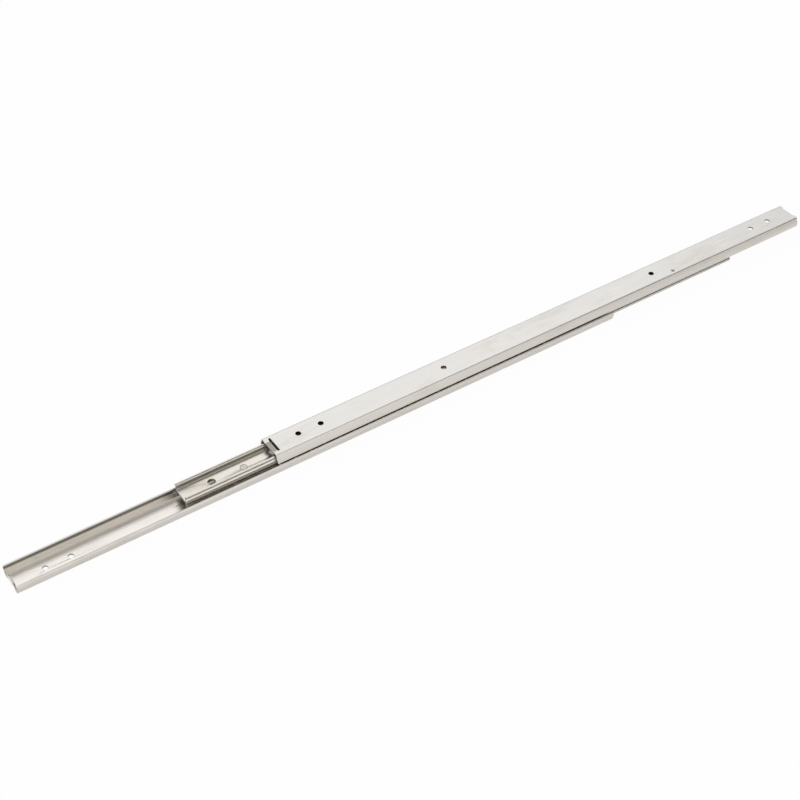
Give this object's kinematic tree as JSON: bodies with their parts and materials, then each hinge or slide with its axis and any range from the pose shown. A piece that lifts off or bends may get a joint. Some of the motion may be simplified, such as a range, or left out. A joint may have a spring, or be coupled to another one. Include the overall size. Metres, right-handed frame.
{
  "type": "ball bearing slide",
  "caption": "Full-extension ball bearing drawer slide: two formed steel rails joined by a riveted middle member that runs on caged steel balls.",
  "frame": {"origin": "centre of the cabinet rail's flat mounting face", "axes": "+X along the slide in the way it opens, +Z from the cabinet rail's face towards the drawer rail, Y across the rails"},
  "size_m": [0.7657, 0.0264, 0.0206],
  "materials": {
    "rail_steel": "bright zinc-plated cold-rolled sheet steel, semi-gloss",
    "middle_steel": "bright zinc-plated cold-rolled sheet steel, semi-gloss",
    "rivet_steel": "pressed steel rivet, satin",
    "cage_steel": "thin pressed steel sheet, satin",
    "ball_steel": "polished and greased bearing steel"
  },
  "bodies": {
    "cabinet": {"cabinet_rail": "rail_steel"},
    "middle": {"middle_channel_lower": "middle_steel", "middle_channel_upper": "middle_steel", "middle_rivets": "rivet_steel"},
    "drawer": {"drawer_rail": "rail_steel"},
    "lower_cage": {"lower_cage": "cage_steel", "lower_balls_01": "ball_steel", "lower_balls_02": "ball_steel", "lower_balls_03": "ball_steel", "lower_balls_04": "ball_steel", "lower_balls_05": "ball_steel", "lower_balls_06": "ball_steel", "lower_balls_07": "ball_steel", "lower_balls_08": "ball_steel", "lower_balls_09": "ball_steel", "lower_balls_10": "ball_steel", "lower_balls_11": "ball_steel", "lower_balls_12": "ball_steel", "lower_balls_13": "ball_steel", "lower_balls_14": "ball_steel", "lower_balls_15": "ball_steel", "lower_balls_16": "ball_steel", "lower_balls_17": "ball_steel", "lower_balls_18": "ball_steel", "lower_balls_19": "ball_steel", "lower_balls_20": "ball_steel"},
    "upper_cage": {"upper_cage": "cage_steel", "upper_balls_01": "ball_steel", "upper_balls_02": "ball_steel", "upper_balls_03": "ball_steel", "upper_balls_04": "ball_steel", "upper_balls_05": "ball_steel", "upper_balls_06": "ball_steel", "upper_balls_07": "ball_steel", "upper_balls_08": "ball_steel", "upper_balls_09": "ball_steel", "upper_balls_10": "ball_steel", "upper_balls_11": "ball_steel", "upper_balls_12": "ball_steel", "upper_balls_13": "ball_steel", "upper_balls_14": "ball_steel", "upper_balls_15": "ball_steel", "upper_balls_16": "ball_steel", "upper_balls_17": "ball_steel", "upper_balls_18": "ball_steel", "upper_balls_19": "ball_steel", "upper_balls_20": "ball_steel"}
  },
  "joints": [
    {"name": "middle_slide", "type": "slide", "parent": "cabinet", "child": "middle", "axis": [1, 0, 0], "range_m": [-0.1385, 0.1315]},
    {"name": "drawer_slide", "type": "slide", "parent": "middle", "child": "drawer", "axis": [1, 0, 0], "range_m": [-0.0772, 0.1928]},
    {"name": "lower_cage_roll", "type": "slide", "parent": "cabinet", "child": "lower_cage", "axis": [1, 0, 0], "range_m": [-0.06925, 0.06575]},
    {"name": "upper_cage_roll", "type": "slide", "parent": "middle", "child": "upper_cage", "axis": [1, 0, 0], "range_m": [-0.0386, 0.0964]}
  ],
  "couplings": [
    {"joint": "lower_cage_roll", "follows": "middle_slide", "ratio": 0.5},
    {"joint": "upper_cage_roll", "follows": "drawer_slide", "ratio": 0.5}
  ]
}
